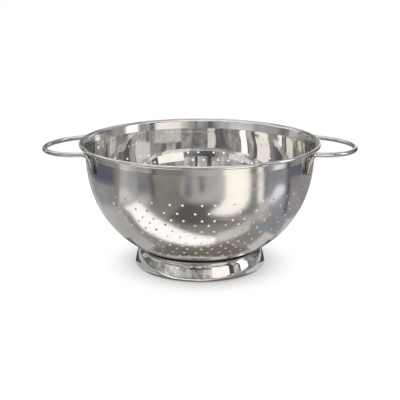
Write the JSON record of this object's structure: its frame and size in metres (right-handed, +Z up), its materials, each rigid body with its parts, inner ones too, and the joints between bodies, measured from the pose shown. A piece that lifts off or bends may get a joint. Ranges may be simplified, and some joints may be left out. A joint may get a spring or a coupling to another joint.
{
  "type": "footed colander",
  "caption": "Hemispherical perforated steel bowl with a rolled rim, a flared foot ring and two wire loop handles, for draining food.",
  "frame": {"origin": "on the bowl's vertical axis, at the level of the foot ring's lower edge, where the colander stands", "axes": "+Z up along the bowl's axis, +X towards the right handle, +Y away from the viewer of the picture"},
  "size_m": [0.3144, 0.24, 0.1262],
  "materials": {
    "bowl_steel": "satin polished",
    "foot_steel": "mirror polished",
    "handle_steel": "mirror polished",
    "weld_steel": "as welded"
  },
  "bodies": {
    "root": {"bowl": "bowl_steel", "foot_ring": "foot_steel", "foot_welds": "weld_steel", "right_handle": "handle_steel", "right_handle_welds": "weld_steel", "left_handle": "handle_steel", "left_handle_welds": "weld_steel"}
  },
  "joints": []
}
